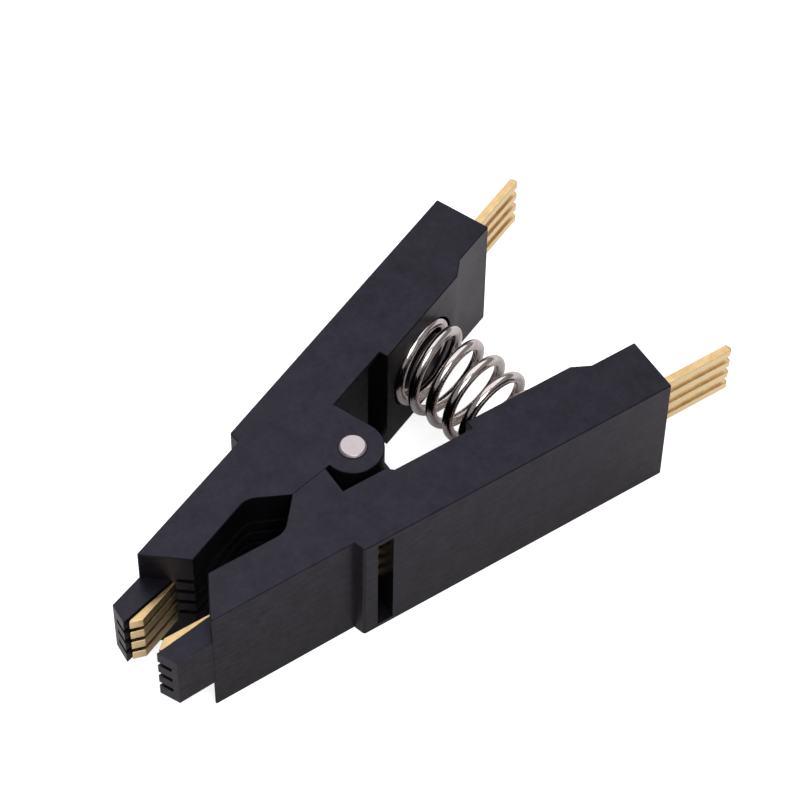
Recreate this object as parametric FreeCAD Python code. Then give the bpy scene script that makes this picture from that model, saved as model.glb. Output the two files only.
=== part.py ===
import FreeCAD, Part
import math
import os
from FreeCAD import Vector

# Test clip for an eight-lead small-outline chip, lying on one side.
# Origin: the pivot axis in the plane of the side face that the clip lies on.
# +X runs back to the tail pins, +Y to the upper arm's side, +Z along the pivot.
#
# Each arm is drawn in its own plan: u runs back along the arm from the pivot,
# w runs outwards from the middle of the clip, z is the height. Millimetres, degrees.

# Body and pivot
body_width = 10.6
rest_angle = 11.2            # each arm from the centreline, jaws closed
stop_gap = 0.04              # between the two closed stop faces
pin_radius = 1.0
pin_head_height = 0.2        # the pin stands out of the upper side by this much
pin_chamfer = 0.15
running_clearance = 0.04     # radial, pin in the upper arm
press_interference = 0.005   # radial, pin in the lower arm
lug_layers = 4               # the arms' lugs take turns along the pivot
lug_radius = 2.2
lug_side_gap = 0.1           # along the pivot, between neighbouring lugs
lug_edge_gap = 0.3           # round a lug, to the wall of its pocket in front
pocket_floor_w = 2.7
pocket_mouth_u = 0.95        # where the pocket floor starts to slope out to the inner face
pocket_mouth_run = 0.45

# Outer and inner faces of an arm
tail_u = 21.4
outer_w = 7.55
front_outer_w = 6.67        # right in front of the step; the face drifts out from there
step_u = -3.9
step_run = 0.25
step_radius = 0.25
inner_w = 3.1
pad_w = 2.4                  # raised pad that carries the spring seat
pad_front_u = 7.7
pad_rear_u = 16.4
pad_slope_run = 1.35
edge_radius = 0.1

# Front part of an arm: shoulder, throat and nose
shoulder_outer_u = -15.48
shoulder_outer_w = 6.8
shoulder_inner_u = -13.63
throat_w = 3.43
throat_corner_u = -7.6
throat_radius = 1.5
stop_front_radius = 5.7      # the stop faces meet from here back to the lugs
nose_outer_u = -18.2
nose_outer_w = 6.88
nose_inner_u = -18.9
nose_tip_gap = 0.15          # from the blade's outer edge to the rib, at the tip
nose_root_gap = 0.1          # and at the neck
nose_half_height = 2.5

# Contacts
contact_count = 4
contact_pitch = 1.27
contact_thickness = 0.64     # of the strip and the tail pin, along the pivot
blade_height = 0.82          # of the blade, along the pivot
strip_width = 0.64
strip_w = 5.3                # middle of the strip in its channel
contact_clearance = 0.03
blade_tip_u = -18.6
blade_tip_w = 5.2
blade_corner_u = -17.85
blade_inner_w = 4.58
blade_outer_u = -18.4        # the blade narrows from here to its neck
blade_outer_w = 5.3
blade_neck_u = -14.6
blade_neck_w = 4.78
blade_root_u = -13.0
blade_root_run = 0.5
slot_height = 0.42           # slots beside the ribs that carry the contacts
nose_slot_w = 6.45           # floor of the slots in the nose
throat_slot_w = 4.5          # floor of the slots in the throat wall
throat_slot_u = -5.4         # rear end of the slots in the throat wall
tail_pin_length = 7.1
tail_tip_bevel = 0.22
tab_height = 0.15            # stands into the outer window and holds the strip
tab_gap = 0.15               # between the tab and the window's ends

# Windows
outer_window_half_height = 4.85
outer_window_u = -2.8
outer_window_length = 1.25
inner_window_half_height = 5.0
inner_window_length = 1.4    # ends at the pad's front wall

# Spring, its seats and the posts inside it
wire_radius = 0.4
coil_radius = 3.05           # to the middle of the wire
spring_u = 12.1
seat_depth = 1.35
seat_gap = 0.05              # between the end coil and the seat floor
seat_side_gap = 0.12
post_side_gap = 0.4
post_height = 0.3            # above the pad
post_chamfer = 0.2
spring_turns = 7.25
end_turns = 1.5
end_pitch = 1.14
coil_start = 195.0           # where the wire ends, seen along the coil's axis
points_per_turn = 20

# Worked out from the sizes above
middle = body_width / 2
layer = body_width / lug_layers
strip_inner_w = strip_w - strip_width / 2
strip_outer_w = strip_w + strip_width / 2
blade_root_end = blade_root_u + blade_root_run
nose_inner_w = blade_outer_w + nose_tip_gap
nose_root_w = blade_neck_w + nose_root_gap
far = 2 * (tail_u + tail_pin_length)   # longer than any face that a cutting box passes
tolerance = 1e-4             # when edges are picked by where they lie

os.makedirs("parts", exist_ok=True)


def prism(outline, low, high):
    """Upright prism over a closed outline of (u, w) points."""
    points = [Vector(u, w, low) for u, w in outline]
    face = Part.Face(Part.makePolygon(points + points[:1]))
    return face.extrude(Vector(0, 0, high - low))


def block(u_range, w_range, z_range):
    """Box between two limits along u, w and z."""
    size = [high - low for low, high in (u_range, w_range, z_range)]
    return Part.makeBox(*size, Vector(u_range[0], w_range[0], z_range[0]))


def upright_edges(shape, places):
    """Edges parallel to Z that stand at the given (u, w) places."""
    def at_a_place(edge):
        box = edge.BoundBox
        upright = box.XLength < tolerance and box.YLength < tolerance
        return upright and any(math.hypot(box.XMin - u, box.YMin - w) < tolerance for u, w in places)
    return [edge for edge in shape.Edges if at_a_place(edge)]


def on_stop_face(point):
    """Whether a point lies in the plane of the arm's stop face."""
    angle = math.radians(rest_angle)
    distance = point.x * math.sin(angle) + point.y * math.cos(angle)
    return abs(distance - stop_gap / 2) < tolerance


def rim_edges(shape, height):
    """Edges in one level plane, without whole circles or the stop face's sharp edge."""
    def level(edge):
        box = edge.BoundBox
        return abs(box.ZMin - height) < tolerance and abs(box.ZMax - height) < tolerance
    edges = [edge for edge in shape.Edges if level(edge) and not edge.isClosed()]
    return [edge for edge in edges if not all(on_stop_face(vertex.Point) for vertex in edge.Vertexes)]


def contact_heights():
    """Middle heights of the contacts, from the top down."""
    top = middle + (contact_count - 1) * contact_pitch / 2
    return [top - index * contact_pitch for index in range(contact_count)]


def to_upper(shape):
    """From the arm's own plan to the upper arm's place at rest."""
    placed = shape.copy()
    placed.rotate(Vector(0, 0, 0), Vector(0, 0, 1), rest_angle)
    return placed


def to_lower(shape):
    """The upper arm's place turned over about the clip's centreline."""
    placed = to_upper(shape)
    placed.rotate(Vector(0, 0, middle), Vector(1, 0, 0), 180)
    return placed


def stop_face_point(radius):
    """Point of the stop face at a distance in front of the pivot."""
    angle = math.radians(rest_angle)
    lift = stop_gap / 2
    u = -radius * math.cos(angle) + lift * math.sin(angle)
    w = radius * math.sin(angle) + lift * math.cos(angle)
    return u, w


step_top = (step_u, outer_w)
step_foot = (step_u - step_run, front_outer_w)
shoulder_outer = (shoulder_outer_u, shoulder_outer_w)
shoulder_inner = (shoulder_inner_u, throat_w)
throat_corner = (throat_corner_u, throat_w)
tail_outer = (tail_u, outer_w)
tail_inner = (tail_u, inner_w)


def arm_plan(low, high):
    """The arm's plan without lugs or pockets: stop face, throat, outer face, pad."""
    outline = [
        stop_face_point(0),
        stop_face_point(stop_front_radius),
        throat_corner,
        shoulder_inner,
        shoulder_outer,
        step_foot,
        step_top,
        tail_outer,
        tail_inner,
        (pad_rear_u + pad_slope_run, inner_w),
        (pad_rear_u, pad_w),
        (pad_front_u, pad_w),
        (pad_front_u, inner_w),
        (lug_radius, inner_w),
        (lug_radius, 0),
    ]
    return prism(outline, low, high)


def lug_pocket(low, high):
    """Room in this arm for one lug of the other arm."""
    front = -(lug_radius + lug_edge_gap)
    outline = [
        (front, -far),
        (front, pocket_floor_w),
        (pocket_mouth_u, pocket_floor_w),
        (pocket_mouth_u + pocket_mouth_run, inner_w),
        (lug_radius + lug_edge_gap, inner_w),
        (lug_radius + lug_edge_gap, -far),
    ]
    return prism(outline, low, high)


def arm_block():
    """The moulding without its nose: layers with a lug and layers with a pocket by turns."""
    shape = arm_plan(0, body_width)
    for index in range(1, lug_layers, 2):
        lug = Part.makeCylinder(lug_radius, layer, Vector(0, 0, layer * index))
        shape = shape.fuse(lug)
    for index in range(0, lug_layers, 2):
        low = layer * index - lug_side_gap / 2
        shape = shape.cut(lug_pocket(low, low + layer + lug_side_gap))
    return shape.removeSplitter()


def nose():
    """Narrow front of the arm, before its slots are cut."""
    outline = [
        (nose_outer_u, nose_outer_w),
        (nose_inner_u, nose_inner_w),
        (blade_neck_u, nose_root_w),
        (shoulder_inner_u, nose_root_w),
        (shoulder_inner_u, front_outer_w),
    ]
    return prism(outline, middle - nose_half_height, middle + nose_half_height)


def span(height, size):
    """Limits along z, evenly about a height."""
    return height - size / 2, height + size / 2


def contact_room(height):
    """Room for one contact: a passage for the blade's neck, then a channel for the strip."""
    front = blade_inner_w - contact_clearance
    back = strip_outer_w + contact_clearance
    rear = blade_root_end + contact_clearance
    tall = span(height, blade_height + 2 * contact_clearance)
    low = span(height, contact_thickness + 2 * contact_clearance)
    passage = block((-far, rear), (front, nose_root_w), tall)
    bend = block((blade_root_u - contact_clearance, rear), (front, back), tall)
    channel = block((blade_root_u, far), (strip_inner_w - contact_clearance, back), low)
    return passage.fuse(bend).fuse(channel)


def slots_beside_ribs():
    """Slots half a pitch above each contact in the throat wall, and in the nose between its ribs."""
    slots = []
    for height in contact_heights():
        limits = span(height + contact_pitch / 2, slot_height)
        slots.append(block((-far, throat_slot_u), (-far, throat_slot_w), limits))
    for height in contact_heights()[1:]:
        limits = span(height + contact_pitch / 2, slot_height)
        slots.append(block((-far, blade_root_u), (-far, nose_slot_w), limits))
    return slots


def window(u_range, w_range, half_height):
    """Opening cut between two limits, evenly about the middle height."""
    return block(u_range, w_range, span(middle, 2 * half_height))


def windows():
    """Outer window over the contacts' tabs, inner window beside the spring pad."""
    outer_range = (outer_window_u, outer_window_u + outer_window_length)
    inner_range = (pad_front_u - inner_window_length, pad_front_u)
    outer = window(outer_range, (strip_w, far), outer_window_half_height)
    inner = window(inner_range, (pad_w, strip_w), inner_window_half_height)
    return outer.fuse(inner)


def spring_seat(shape):
    """Round recess for the end coil, with the post that keeps the coil in place."""
    outwards = Vector(0, 1, 0)
    floor_w = pad_w + seat_depth
    recess_radius = coil_radius + wire_radius + seat_side_gap
    recess = Part.makeCylinder(recess_radius, seat_depth + pad_w, Vector(spring_u, 0, middle), outwards)
    post_radius = coil_radius - wire_radius - post_side_gap
    post_start = pad_w - post_height
    post = Part.makeCylinder(post_radius, floor_w - post_start, Vector(spring_u, post_start, middle), outwards)
    tip = [edge for edge in post.Edges if edge.isClosed() and edge.BoundBox.YMax < post_start + tolerance]
    return shape.cut(recess).fuse(post.makeChamfer(post_chamfer, tip)).removeSplitter()


def rounded(shape):
    """Small rounds along the outer edges, as on a moulding."""
    shape = shape.makeFillet(throat_radius, upright_edges(shape, [throat_corner]))
    shape = shape.makeFillet(step_radius, upright_edges(shape, [step_top]))
    corners = [shoulder_outer, shoulder_inner, tail_outer, tail_inner]
    shape = shape.makeFillet(edge_radius, upright_edges(shape, corners))
    for height in (0, body_width):
        shape = shape.makeFillet(edge_radius, rim_edges(shape, height))
    return shape


def arm(bore_radius):
    """One moulded arm in its own plan."""
    shape = rounded(arm_block()).fuse(nose())
    for height in contact_heights():
        shape = shape.cut(contact_room(height))
    for slot in slots_beside_ribs():
        shape = shape.cut(slot)
    shape = spring_seat(shape.cut(windows()))
    bore = Part.makeCylinder(bore_radius, body_width)
    return shape.cut(bore)


def contact(height):
    """One contact: blade in the nose, strip with its tab, tail pin."""
    tail_end = tail_u + tail_pin_length
    tab_front = outer_window_u + tab_gap
    tab_back = outer_window_u + outer_window_length - tab_gap
    blade = [
        (blade_tip_u, blade_tip_w),
        (blade_corner_u, blade_inner_w),
        (blade_root_u, blade_inner_w),
        (blade_root_end, strip_inner_w),
        (blade_root_end, strip_outer_w),
        (blade_root_u, blade_neck_w),
        (blade_neck_u, blade_neck_w),
        (blade_outer_u, blade_outer_w),
    ]
    strip = [
        (blade_root_end, strip_inner_w),
        (tail_end, strip_inner_w),
        (tail_end, strip_outer_w),
        (tab_back, strip_outer_w),
        (tab_back, strip_outer_w + tab_height),
        (tab_front, strip_outer_w),
        (blade_root_end, strip_outer_w),
    ]
    shape = prism(strip, *span(height, contact_thickness)).fuse(prism(blade, *span(height, blade_height)))
    tip = [edge for edge in shape.Edges if edge.BoundBox.XMin > tail_end - tolerance]
    return shape.makeChamfer(tail_tip_bevel, tip)


def pivot_pin():
    """Plain pin: flush below, standing out a little above."""
    length = body_width + pin_head_height
    shape = Part.makeCylinder(pin_radius, length)
    rim = [edge for edge in shape.Edges if edge.isClosed() and edge.BoundBox.ZMin > length - tolerance]
    return shape.makeChamfer(pin_chamfer, rim)


def spring():
    """Coil spring on a shallow arc, its end coils square to the two seats."""
    end_w = pad_w + seat_depth - wire_radius - seat_gap
    angle = math.radians(rest_angle)
    end_x = spring_u * math.cos(angle) - end_w * math.sin(angle)
    end_y = spring_u * math.sin(angle) + end_w * math.cos(angle)
    arc_radius = end_y / math.sin(angle)
    arc_x = end_x - arc_radius * math.cos(angle)
    length = 2 * arc_radius * angle
    active_turns = spring_turns - 2 * end_turns
    active_pitch = (length - 2 * end_turns * end_pitch) / active_turns

    def travel(turn):
        """Distance along the arc after a number of turns."""
        first = min(turn, end_turns) * end_pitch
        active = min(max(turn - end_turns, 0), active_turns) * active_pitch
        last = max(turn - end_turns - active_turns, 0) * end_pitch
        return first + active + last

    points = []
    for index in range(round(spring_turns * points_per_turn) + 1):
        turn = index / points_per_turn
        along = angle - travel(turn) / arc_radius
        round_coil = math.radians(coil_start) + 2 * math.pi * turn
        reach = arc_radius + coil_radius * math.cos(round_coil)
        height = middle + coil_radius * math.sin(round_coil)
        points.append(Vector(arc_x + reach * math.cos(along), reach * math.sin(along), height))
    line = Part.BSplineCurve()
    line.interpolate(points)
    start = line.tangent(line.FirstParameter)[0]
    profile = Part.Wire(Part.makeCircle(wire_radius, points[0], start))
    return Part.Wire(line.toShape()).makePipeShell([profile], True, True)


shapes = {
    "upper_arm": to_upper(arm(pin_radius + running_clearance)),
    "lower_arm": to_lower(arm(pin_radius - press_interference)),
    "pivot_pin": pivot_pin(),
    "spring": spring(),
}
for number, height in enumerate(contact_heights(), start=1):
    shapes[f"upper_contact_{number}"] = to_upper(contact(height))
    shapes[f"lower_contact_{number}"] = to_lower(contact(body_width - height))

for name, shape in shapes.items():
    shape.exportStep(f"parts/{name}.step")
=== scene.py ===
import math
import bmesh
import bpy
from mathutils import Matrix, Vector


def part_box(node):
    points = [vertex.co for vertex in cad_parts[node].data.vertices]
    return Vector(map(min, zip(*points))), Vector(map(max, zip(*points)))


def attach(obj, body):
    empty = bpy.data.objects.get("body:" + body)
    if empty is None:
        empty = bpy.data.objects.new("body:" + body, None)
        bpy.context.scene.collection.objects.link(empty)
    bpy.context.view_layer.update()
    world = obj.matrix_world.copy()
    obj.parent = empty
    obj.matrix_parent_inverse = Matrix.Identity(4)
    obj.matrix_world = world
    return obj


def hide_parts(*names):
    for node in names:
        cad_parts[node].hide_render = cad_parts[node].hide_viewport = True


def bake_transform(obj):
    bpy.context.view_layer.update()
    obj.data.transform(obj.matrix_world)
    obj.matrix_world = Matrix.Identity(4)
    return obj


# Looks of a spring-loaded test clip for small-outline chips, in metres.
# The frame is the clip's own: X back to the tail pins, Y to the upper arm, Z along the pivot.

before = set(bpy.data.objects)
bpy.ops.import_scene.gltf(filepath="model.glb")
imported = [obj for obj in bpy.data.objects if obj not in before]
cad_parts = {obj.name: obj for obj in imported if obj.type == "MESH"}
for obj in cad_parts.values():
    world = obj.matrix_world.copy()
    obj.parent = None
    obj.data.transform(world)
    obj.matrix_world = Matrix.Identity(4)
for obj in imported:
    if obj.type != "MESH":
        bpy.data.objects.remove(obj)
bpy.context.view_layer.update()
scene = bpy.context.scene

MM = 0.001

# Camera, where the photograph was taken from
image_pixels = 800
focal_pixels = 3315.0
sensor_mm = 36.0
camera_azimuth = math.radians(-45.02)
camera_elevation = math.radians(53.908)
camera_roll = math.radians(0.924)
camera_distance = 230.5 * MM
camera_aim = Vector((5.886, 1.390, 9.051)) * MM

# Moulded arms
rest_angle = math.radians(11.2)
edge_width = 0.04 * MM
stop_plane = 0.03 * MM          # edges nearer to the plane between the arms stay sharp
sharp_angle = math.radians(32)
flat_angle = math.radians(0.4)
weld_distance = 0.0005 * MM
inner_face_w = 4.0 * MM         # from an arm's centreline; the faces by the spring lie nearer
outer_face_w = 5.5 * MM         # and the outer faces lie further out
nose_root_x = -17 * MM          # the painted sheen of the plastic, light painted into its specular level, changes between these places along the clip
tail_root_x = 18 * MM
# the painted shade on the arms' inner faces by the pivot fades out between these places
seat_front_x = 7 * MM
seat_rear_x = 15 * MM

# Contacts
contact_edge_width = 0.11 * MM

# Noise textures stay mostly between these values
noise_low = 0.3
noise_high = 0.7

# Spring
wire_radius = 0.4 * MM
coil_radius = 3.05 * MM
spring_u = 12.1 * MM
pad_w = 2.4 * MM
seat_depth = 1.35 * MM
seat_gap = 0.05 * MM
spring_turns = 7.25
end_turns = 1.5
end_pitch = 1.14 * MM
coil_start = math.radians(195)
points_per_turn = 48
wire_sides = 28

# Studio
floor_reach = 3.0
floor_lift = 0.76               # own light of the floor, for the camera alone
world_light = 0.25              # of the surroundings, for all but the camera


# Meshes

def link(obj):
    scene.collection.objects.link(obj)
    return obj


def on_stop_face(edge):
    """Whether an edge lies where the closed arms meet, which stays sharp."""
    return all(abs(corner.co.y) < stop_plane for corner in edge.verts)


def softened(node, name, width, segments=2):
    """The node's own shape with welded corners, whole flat faces and rounded sharp edges."""
    shape = bmesh.new()
    shape.from_mesh(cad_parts[node].data)
    bmesh.ops.remove_doubles(shape, verts=shape.verts, dist=weld_distance)
    bmesh.ops.dissolve_limit(shape, angle_limit=flat_angle, verts=shape.verts, edges=shape.edges)
    rounded = [edge for edge in shape.edges if edge.is_manifold and not on_stop_face(edge)]
    sharp = [edge for edge in rounded if edge.calc_face_angle() > sharp_angle]
    bmesh.ops.bevel(
        shape, geom=sharp, offset=width, offset_type="OFFSET", segments=segments,
        profile=0.6, affect="EDGES", clamp_overlap=True,
    )
    mesh = bpy.data.meshes.new(name)
    shape.to_mesh(mesh)
    shape.free()
    mesh.shade_smooth()
    mesh.set_sharp_from_angle(angle=sharp_angle)
    piece = link(bpy.data.objects.new(name, mesh))
    weighted = piece.modifiers.new("even_shading", "WEIGHTED_NORMAL")
    weighted.keep_sharp = True
    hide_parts(node)
    return piece


def coil_line():
    """Points along the middle of the spring's wire, from the upper seat to the lower one."""
    end_w = pad_w + seat_depth - wire_radius - seat_gap
    end_x = spring_u * math.cos(rest_angle) - end_w * math.sin(rest_angle)
    end_y = spring_u * math.sin(rest_angle) + end_w * math.cos(rest_angle)
    arc_radius = end_y / math.sin(rest_angle)
    arc_x = end_x - arc_radius * math.cos(rest_angle)
    length = 2 * arc_radius * rest_angle
    active_turns = spring_turns - 2 * end_turns
    active_pitch = (length - 2 * end_turns * end_pitch) / active_turns
    middle = sum(corner.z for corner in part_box("spring")) / 2

    def travel(turn):
        first = min(turn, end_turns) * end_pitch
        active = min(max(turn - end_turns, 0), active_turns) * active_pitch
        last = max(turn - end_turns - active_turns, 0) * end_pitch
        return first + active + last

    points = []
    for index in range(round(spring_turns * points_per_turn) + 1):
        turn = index / points_per_turn
        along = rest_angle - travel(turn) / arc_radius
        turned = coil_start + 2 * math.pi * turn
        reach = arc_radius + coil_radius * math.cos(turned)
        height = middle + coil_radius * math.sin(turned)
        points.append(Vector((arc_x + reach * math.cos(along), reach * math.sin(along), height)))
    return points, Vector((end_x, end_y, middle))


def wire_sweep(material):
    """Nodes that sweep a round wire along a line of points, so that it stays round in any pose."""
    tree = bpy.data.node_groups.new("round_wire", "GeometryNodeTree")
    tree.interface.new_socket("Geometry", in_out="INPUT", socket_type="NodeSocketGeometry")
    tree.interface.new_socket("Geometry", in_out="OUTPUT", socket_type="NodeSocketGeometry")
    source = tree.nodes.new("NodeGroupInput")
    line = tree.nodes.new("GeometryNodeMeshToCurve")
    section = tree.nodes.new("GeometryNodeCurvePrimitiveCircle")
    section.inputs["Resolution"].default_value = wire_sides
    section.inputs["Radius"].default_value = wire_radius
    sweep = tree.nodes.new("GeometryNodeCurveToMesh")
    sweep.inputs["Fill Caps"].default_value = True
    smooth = tree.nodes.new("GeometryNodeSetShadeSmooth")
    paint = tree.nodes.new("GeometryNodeSetMaterial")
    paint.inputs["Material"].default_value = material
    result = tree.nodes.new("NodeGroupOutput")
    tree.links.new(source.outputs["Geometry"], line.inputs["Mesh"])
    tree.links.new(line.outputs["Curve"], sweep.inputs["Curve"])
    tree.links.new(section.outputs["Curve"], sweep.inputs["Profile Curve"])
    tree.links.new(sweep.outputs["Mesh"], smooth.inputs["Geometry"])
    tree.links.new(smooth.outputs["Geometry"], paint.inputs["Geometry"])
    tree.links.new(paint.outputs["Geometry"], result.inputs["Geometry"])
    return tree


# Materials

def principled(name, base_color, metallic, roughness):
    material = bpy.data.materials.new(name)
    material.use_nodes = True
    shader = material.node_tree.nodes["Principled BSDF"]
    shader.inputs["Base Color"].default_value = (*base_color, 1)
    shader.inputs["Metallic"].default_value = metallic
    shader.inputs["Roughness"].default_value = roughness
    return material


def noise(tree, size, detail=2.0, stretch=(1, 1, 1)):
    """Noise whose patches are about size across, over the clip's own coordinates."""
    place = tree.nodes.new("ShaderNodeTexCoord")
    mapping = tree.nodes.new("ShaderNodeMapping")
    mapping.inputs["Scale"].default_value = [1 / (size * share) for share in stretch]
    texture = tree.nodes.new("ShaderNodeTexNoise")
    texture.inputs["Scale"].default_value = 1.0
    texture.inputs["Detail"].default_value = detail
    tree.links.new(place.outputs["Object"], mapping.inputs["Vector"])
    tree.links.new(mapping.outputs["Vector"], texture.inputs["Vector"])
    return texture.outputs["Fac"]


def between(tree, factor, low, high):
    """Maps noise onto a range of values."""
    return passing(tree, factor, noise_low, noise_high, low, high)


def tint(tree, factor, low, high):
    """Mixes two colours by noise."""
    node = tree.nodes.new("ShaderNodeMix")
    node.data_type = "RGBA"
    colours = [socket for socket in node.inputs if socket.type == "RGBA"]
    colours[0].default_value = (*low, 1)
    colours[1].default_value = (*high, 1)
    tree.links.new(between(tree, factor, 0, 1), node.inputs["Factor"])
    return next(socket for socket in node.outputs if socket.type == "RGBA")


def blended(tree, factor, first, other):
    """Passes from a worked-out colour to a plain one."""
    node = tree.nodes.new("ShaderNodeMix")
    node.data_type = "RGBA"
    colours = [socket for socket in node.inputs if socket.type == "RGBA"]
    colours[1].default_value = (*other, 1)
    tree.links.new(first, colours[0])
    tree.links.new(factor, node.inputs["Factor"])
    return next(socket for socket in node.outputs if socket.type == "RGBA")


def bump(tree, height, distance, under=None):
    node = tree.nodes.new("ShaderNodeBump")
    node.inputs["Distance"].default_value = distance
    node.inputs["Strength"].default_value = 1.0
    tree.links.new(height, node.inputs["Height"])
    if under:
        tree.links.new(under, node.inputs["Normal"])
    return node.outputs["Normal"]


def axes(tree, source):
    """The X, Y and Z of a place, or of a face's direction, in the clip's own frame."""
    place = tree.nodes.new("ShaderNodeTexCoord")
    split = tree.nodes.new("ShaderNodeSeparateXYZ")
    tree.links.new(place.outputs[source], split.inputs["Vector"])
    return split.outputs


def size_of(tree, value):
    """A value without its sign."""
    node = tree.nodes.new("ShaderNodeMath")
    node.operation = "ABSOLUTE"
    tree.links.new(value, node.inputs[0])
    return node.outputs["Value"]


def passing(tree, value, start, end, low, high):
    """Passes from low to high while a value goes from start to end."""
    node = tree.nodes.new("ShaderNodeMapRange")
    node.inputs["From Min"].default_value = start
    node.inputs["From Max"].default_value = end
    node.inputs["To Min"].default_value = low
    node.inputs["To Max"].default_value = high
    tree.links.new(value, node.inputs["Value"])
    return node.outputs["Result"]


def lengthwise(tree, front, rear, low, high):
    """Passes from low to high between two places along the clip."""
    return passing(tree, axes(tree, "Object")["X"], front, rear, low, high)


def inner_side(tree):
    """Share that is one on the arms' inner faces and nought on their outer ones."""
    place = axes(tree, "Object")
    offset = tree.nodes.new("ShaderNodeMath")
    offset.operation = "MULTIPLY_ADD"
    offset.inputs[1].default_value = -math.tan(rest_angle)
    tree.links.new(place["X"], offset.inputs[0])
    tree.links.new(size_of(tree, place["Y"]), offset.inputs[2])
    return passing(tree, offset.outputs["Value"], inner_face_w, outer_face_w, 1, 0)


def only_where(tree, share, value):
    """The value where share is 1, passing to 1 where share is 0."""
    node = tree.nodes.new("ShaderNodeMix")
    node.data_type = "FLOAT"
    node.inputs["A"].default_value = 1.0
    tree.links.new(share, node.inputs["Factor"])
    tree.links.new(value, node.inputs["B"])
    return node.outputs["Result"]


def finish_shader(material, colour, roughness, normal):
    tree = material.node_tree
    shader = tree.nodes["Principled BSDF"]
    tree.links.new(colour, shader.inputs["Base Color"])
    tree.links.new(roughness, shader.inputs["Roughness"])
    tree.links.new(normal, shader.inputs["Normal"])
    return material


def facing(tree, axis):
    """How squarely a face looks along one of the clip's axes, 0 to 1."""
    return size_of(tree, axes(tree, "Normal")[axis])


def times(tree, first, second):
    node = tree.nodes.new("ShaderNodeMath")
    node.operation = "MULTIPLY"
    tree.links.new(first, node.inputs[0])
    tree.links.new(second, node.inputs[1])
    return node.outputs["Value"]


def moulded_plastic():
    """Black plastic: fine grain, faint cloudiness, flow streaks on the side faces, uneven sheen with
    painted light: its specular level is raised on the tops towards the nose and on the sides towards
    the tail.
    """
    material = principled("moulded_plastic", (0.006, 0.0055, 0.007), 0.0, 0.45)
    tree = material.node_tree
    shader = tree.nodes["Principled BSDF"]
    shader.inputs["Specular Tint"].default_value = (0.78, 0.72, 1.0, 1)
    cloud = noise(tree, 1.6 * MM, detail=4)
    speckle = noise(tree, 0.40 * MM, detail=3)
    grain = noise(tree, 0.09 * MM, detail=3)
    streaks = noise(tree, 0.30 * MM, detail=2, stretch=(5, 1, 1))
    drag = noise(tree, 0.35 * MM, detail=3, stretch=(1, 1, 14))
    sides = facing(tree, "Y")
    tops = facing(tree, "Z")
    colour = tint(tree, cloud, (0.0050, 0.0045, 0.0060), (0.0075, 0.0070, 0.0085))
    roughness = between(tree, grain, 0.30, 0.40)
    clouded = times(tree, between(tree, cloud, 0.275, 0.335), between(tree, grain, 0.94, 1.06))
    clouded = times(tree, clouded, between(tree, speckle, 0.92, 1.08))
    towards_nose = lengthwise(tree, nose_root_x, tail_root_x, 1.0, 0.2)
    streaky = only_where(tree, towards_nose, between(tree, streaks, 0.76, 1.24))
    marked = times(tree, streaky, between(tree, drag, 0.96, 1.04))
    # Painted light: the side faces' sheen is weaker towards the nose and stronger towards the tail, on
    # top of the flow streaks.
    side_streaks_and_painted_sheen = times(tree, marked, lengthwise(tree, nose_root_x, tail_root_x, 0.81, 1.08))
    # Painted light: the top faces' sheen is stronger towards the nose and weaker towards the tail.
    painted_top_sheen = lengthwise(tree, nose_root_x, tail_root_x, 1.39, 0.955)
    # Painted shade: the inner faces' sheen drops towards the pivot, where the other arm and the spring
    # shade them.
    painted_pivot_shade = lengthwise(tree, seat_front_x, seat_rear_x, 0.2, 1.0)
    inner_faces = times(tree, sides, inner_side(tree))
    # Sides, tops and inner faces each get their own painted light or painted shade in the specular
    # level.
    shine = times(tree, clouded, only_where(tree, sides, side_streaks_and_painted_sheen))
    shine = times(tree, shine, only_where(tree, tops, painted_top_sheen))
    shine = times(tree, shine, only_where(tree, inner_faces, painted_pivot_shade))
    tree.links.new(shine, shader.inputs["Specular IOR Level"])
    streaked = bump(tree, times(tree, streaks, sides), 0.008 * MM)
    normal = bump(tree, grain, 0.005 * MM, under=streaked)
    return finish_shader(material, colour, roughness, normal)


def gold_plate():
    """Gold over stamped metal with fine lines along the strip; its faces that look along Y get a paler
    colour, which is painted light.
    """
    material = principled("gold_plate", (0.83, 0.62, 0.30), 1.0, 0.3)
    tree = material.node_tree
    cloud = noise(tree, 0.6 * MM, detail=3)
    lines = noise(tree, 0.05 * MM, detail=2, stretch=(30, 4, 1))
    rolled = tint(tree, cloud, (0.62, 0.43, 0.20), (0.76, 0.55, 0.28))
    # Painted light: faces looking along Y get a paler gold than the rest.
    colour = blended(tree, facing(tree, "Y"), rolled, (1.0, 0.80, 0.46))
    roughness = between(tree, lines, 0.24, 0.38)
    normal = bump(tree, lines, 0.003 * MM)
    return finish_shader(material, colour, roughness, normal)


def pin_steel():
    """Bright steel, its end face slightly mottled where it was pressed in."""
    material = principled("pin_steel", (0.53, 0.47, 0.48), 1.0, 0.4)
    tree = material.node_tree
    mottle = noise(tree, 0.35 * MM, detail=4)
    colour = tint(tree, mottle, (0.48, 0.42, 0.44), (0.58, 0.53, 0.54))
    roughness = between(tree, mottle, 0.28, 0.46)
    normal = bump(tree, mottle, 0.02 * MM)
    return finish_shader(material, colour, roughness, normal)


def spring_nickel():
    """Bright nickel over drawn wire."""
    material = principled("spring_nickel", (0.66, 0.63, 0.60), 1.0, 0.2)
    tree = material.node_tree
    cloud = noise(tree, 1.2 * MM, detail=3)
    fine = noise(tree, 0.12 * MM, detail=3)
    colour = tint(tree, cloud, (0.56, 0.50, 0.47), (0.80, 0.75, 0.74))
    roughness = between(tree, fine, 0.07, 0.16)
    normal = bump(tree, fine, 0.004 * MM)
    return finish_shader(material, colour, roughness, normal)


# The clip

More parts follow.
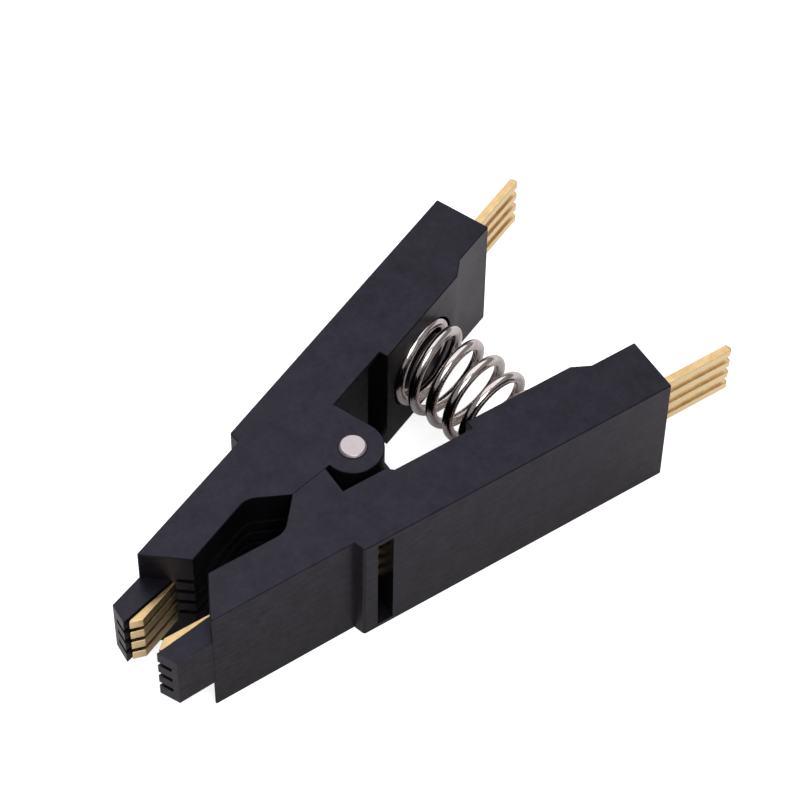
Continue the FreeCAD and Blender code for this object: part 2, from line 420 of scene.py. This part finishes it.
def dress(piece, material, body):
    """Gives a piece its material and the body that it moves with."""
    piece.data.materials.clear()
    piece.data.materials.append(material)
    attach(piece, body)


plastic = moulded_plastic()
gold = gold_plate()
steel = pin_steel()
nickel = spring_nickel()
body_of_side = {"upper": "upper_half", "lower": "lower_half"}

for side, body in body_of_side.items():
    dress(softened(f"{side}_arm", f"{side}_moulding", edge_width), plastic, body)

for node in sorted(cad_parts):
    if "contact" in node:
        blade = softened(node, node.replace("contact", "gold_contact"), contact_edge_width, segments=3)
        dress(blade, gold, body_of_side[node.split("_")[0]])

dress(softened("pivot_pin", "steel_pin", edge_width), steel, "lower_half")

coil_points, upper_end = coil_line()
coil_mesh = bpy.data.meshes.new("coil_spring")
coil_mesh.from_pydata(coil_points, [(i, i + 1) for i in range(len(coil_points) - 1)], [])
coil_mesh.materials.append(nickel)
coil = link(bpy.data.objects.new("coil_spring", coil_mesh))
coil.modifiers.new("round_wire", "NODES").node_group = wire_sweep(nickel)
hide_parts("spring")
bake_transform(coil)


# Studio

def place_camera():
    """Camera at the photograph's place, turned a little about its own axis."""
    level = math.cos(camera_elevation)
    right = Vector((math.cos(camera_azimuth), math.sin(camera_azimuth), 0))
    back = Vector((level * right.y, -level * right.x, math.sin(camera_elevation)))
    up = back.cross(right)
    turned_right = right * math.cos(camera_roll) + up * math.sin(camera_roll)
    turned_up = up * math.cos(camera_roll) - right * math.sin(camera_roll)
    camera = link(bpy.data.objects.new("camera", bpy.data.cameras.new("camera")))
    camera.data.sensor_width = sensor_mm
    camera.data.lens = focal_pixels / image_pixels * sensor_mm
    camera.data.clip_start = 1 * MM
    camera.data.clip_end = 10
    turn = Matrix((turned_right, turned_up, back)).transposed().to_4x4()
    camera.matrix_world = Matrix.Translation(camera_aim + back * camera_distance) @ turn
    scene.camera = camera


def softbox(name, direction, distance, size, power):
    """Square area light that looks at the clip from a direction."""
    light = bpy.data.lights.new(name, "AREA")
    light.shape = "SQUARE"
    light.size = size
    light.energy = power
    lamp = link(bpy.data.objects.new(name, light))
    away = Vector(direction).normalized()
    lamp.location = camera_aim + away * distance
    lamp.rotation_mode = "QUATERNION"
    lamp.rotation_quaternion = away.to_track_quat("Z", "Y")


def floor():
    """Pale table; the camera sees it a little brighter, so that it is white outside the shadow."""
    mesh = bpy.data.meshes.new("floor")
    corners = [(-floor_reach, -floor_reach, 0), (floor_reach, -floor_reach, 0)]
    corners += [(floor_reach, floor_reach, 0), (-floor_reach, floor_reach, 0)]
    mesh.from_pydata(corners, [], [(0, 1, 2, 3)])
    table = link(bpy.data.objects.new("floor", mesh))
    material = principled("floor", (0.895, 0.865, 0.88), 0.0, 0.9)
    tree = material.node_tree
    shader = tree.nodes["Principled BSDF"]
    path = tree.nodes.new("ShaderNodeLightPath")
    lift = tree.nodes.new("ShaderNodeMath")
    lift.operation = "MULTIPLY"
    lift.inputs[1].default_value = floor_lift
    tree.links.new(path.outputs["Is Camera Ray"], lift.inputs[0])
    tree.links.new(lift.outputs["Value"], shader.inputs["Emission Strength"])
    shader.inputs["Emission Color"].default_value = (1, 1, 1, 1)
    mesh.materials.append(material)


def surroundings():
    """White for the camera, dim for everything that the clip mirrors."""
    world = bpy.data.worlds.new("studio")
    world.use_nodes = True
    tree = world.node_tree
    background = tree.nodes["Background"]
    background.inputs["Color"].default_value = (1.0, 0.98, 1.0, 1)
    path = tree.nodes.new("ShaderNodeLightPath")
    strength = tree.nodes.new("ShaderNodeMapRange")
    strength.inputs["To Min"].default_value = world_light
    strength.inputs["To Max"].default_value = 1.0
    tree.links.new(path.outputs["Is Camera Ray"], strength.inputs["Value"])
    tree.links.new(strength.outputs["Result"], background.inputs["Strength"])
    scene.world = world


place_camera()
floor()
surroundings()
softbox("overhead", direction=(0.417, 0.416, 0.808), distance=0.4, size=0.5, power=0.82)
softbox("key", direction=(-0.2, -0.42, 0.88), distance=0.6, size=0.4, power=1.5)
scene.view_settings.view_transform = "Standard"
